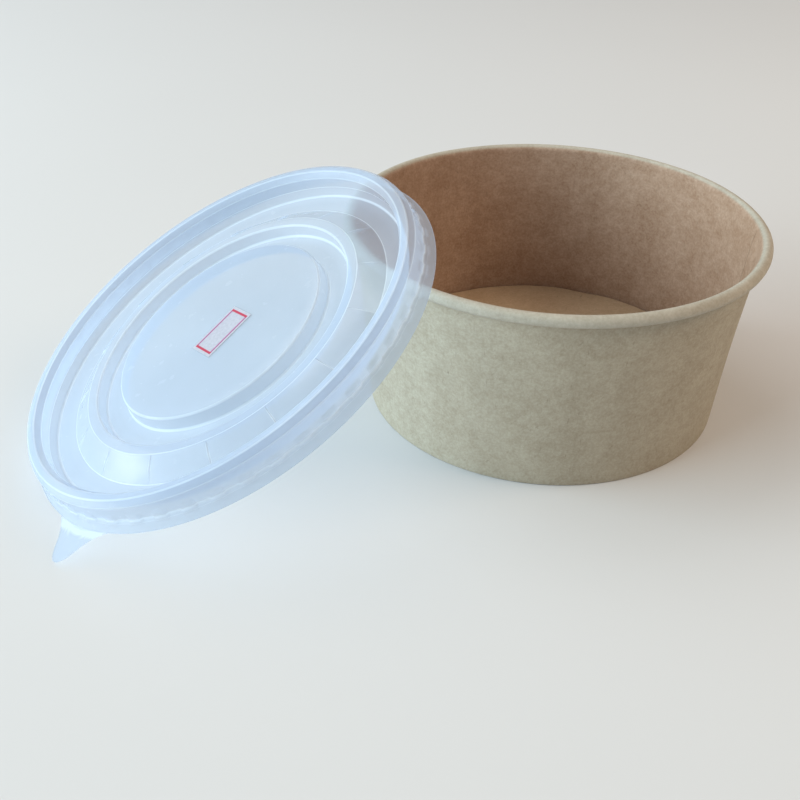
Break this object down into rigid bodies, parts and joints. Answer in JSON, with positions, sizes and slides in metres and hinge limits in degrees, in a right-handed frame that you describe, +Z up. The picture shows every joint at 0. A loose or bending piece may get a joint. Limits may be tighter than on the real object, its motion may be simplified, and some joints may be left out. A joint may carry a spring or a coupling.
{
  "type": "round paper takeout bowl",
  "caption": "Round kraft paper takeout bowl with a rolled rim, its clear push-on lid leaning against it.",
  "frame": {"origin": "on the bowl's axis, in the plane of its foot", "axes": "+Z up along the bowl's axis; +X from the leaning lid's low edge towards the bowl"},
  "size_m": [0.264, 0.1572, 0.0875],
  "materials": {
    "wall_paper": "uncoated kraft paper, fine fibres and flecks, thin clear film inside",
    "base_paper": "kraft paper with a thin clear film",
    "lid_sheet": "thin formed milky polypropylene sheet, see-through with a soft haze",
    "label_paper": "plain white paper with a red line border"
  },
  "bodies": {
    "root": {"sidewall": "wall_paper", "base_disc": "base_paper", "lid_top": "lid_sheet", "lid_rim": "lid_sheet", "label": "label_paper"}
  },
  "joints": []
}
